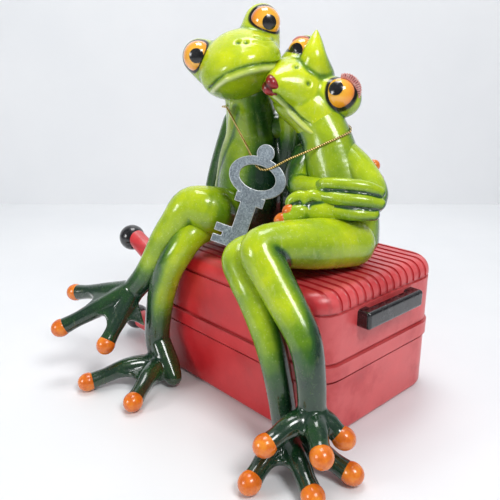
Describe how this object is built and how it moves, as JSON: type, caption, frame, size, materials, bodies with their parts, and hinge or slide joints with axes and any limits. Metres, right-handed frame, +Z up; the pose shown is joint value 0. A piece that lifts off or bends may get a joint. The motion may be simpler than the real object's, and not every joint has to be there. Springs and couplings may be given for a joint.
{
  "type": "frog figurine",
  "caption": "Pair of glossy tree frogs sitting arm in arm on a red suitcase, with a flat key that swings on a gold cord looped round both necks; a shelf ornament.",
  "frame": {"origin": "middle of the suitcase's flat bottom, on the shelf", "axes": "+Z up, -Y the front, where the legs hang down, +X the end with the carry handle"},
  "size_m": [0.1626, 0.1259, 0.1613],
  "materials": {
    "frog_green": "airbrushed high gloss",
    "pad_orange": "high gloss",
    "lip_red": "gloss",
    "lash_pink": "satin",
    "suitcase_red": "satin gloss",
    "trim_black": "gloss",
    "key_metal": "aged",
    "cord_gold": "twisted metallic"
  },
  "bodies": {
    "figurine": {"carry_handle": "trim_black", "cord_knot": "cord_gold", "gent_head": "frog_green", "gent_left_arm": "frog_green", "gent_left_eye": "pad_orange", "gent_left_fingertips": "pad_orange", "gent_left_leg": "frog_green", "gent_left_pupil": "trim_black", "gent_left_toe_pads": "pad_orange", "gent_right_arm": "frog_green", "gent_right_eye": "pad_orange", "gent_right_fingertips": "pad_orange", "gent_right_leg": "frog_green", "gent_right_pupil": "trim_black", "gent_right_toe_pads": "pad_orange", "gent_torso": "frog_green", "key_cord": "cord_gold", "lady_head": "frog_green", "lady_left_arm": "frog_green", "lady_left_eye": "pad_orange", "lady_left_fingertips": "pad_orange", "lady_left_lash": "lash_pink", "lady_left_leg": "frog_green", "lady_left_pupil": "trim_black", "lady_left_toe_pads": "pad_orange", "lady_lips": "lip_red", "lady_right_arm": "frog_green", "lady_right_eye": "pad_orange", "lady_right_lash": "lash_pink", "lady_right_leg": "frog_green", "lady_right_pupil": "trim_black", "lady_right_toe_pads": "pad_orange", "lady_torso": "frog_green", "suitcase_body": "suitcase_red", "wheel_front_lower": "trim_black", "wheel_front_upper": "trim_black", "wheel_rear_lower": "trim_black", "wheel_rear_upper": "trim_black"},
    "key": {"key": "key_metal"}
  },
  "joints": [
    {"name": "key_swing", "type": "hinge", "parent": "figurine", "child": "key", "pos_m": [0.0054, -0.0187, 0.0956], "axis": [-1, 0, 0], "range_deg": [0, 30]}
  ]
}
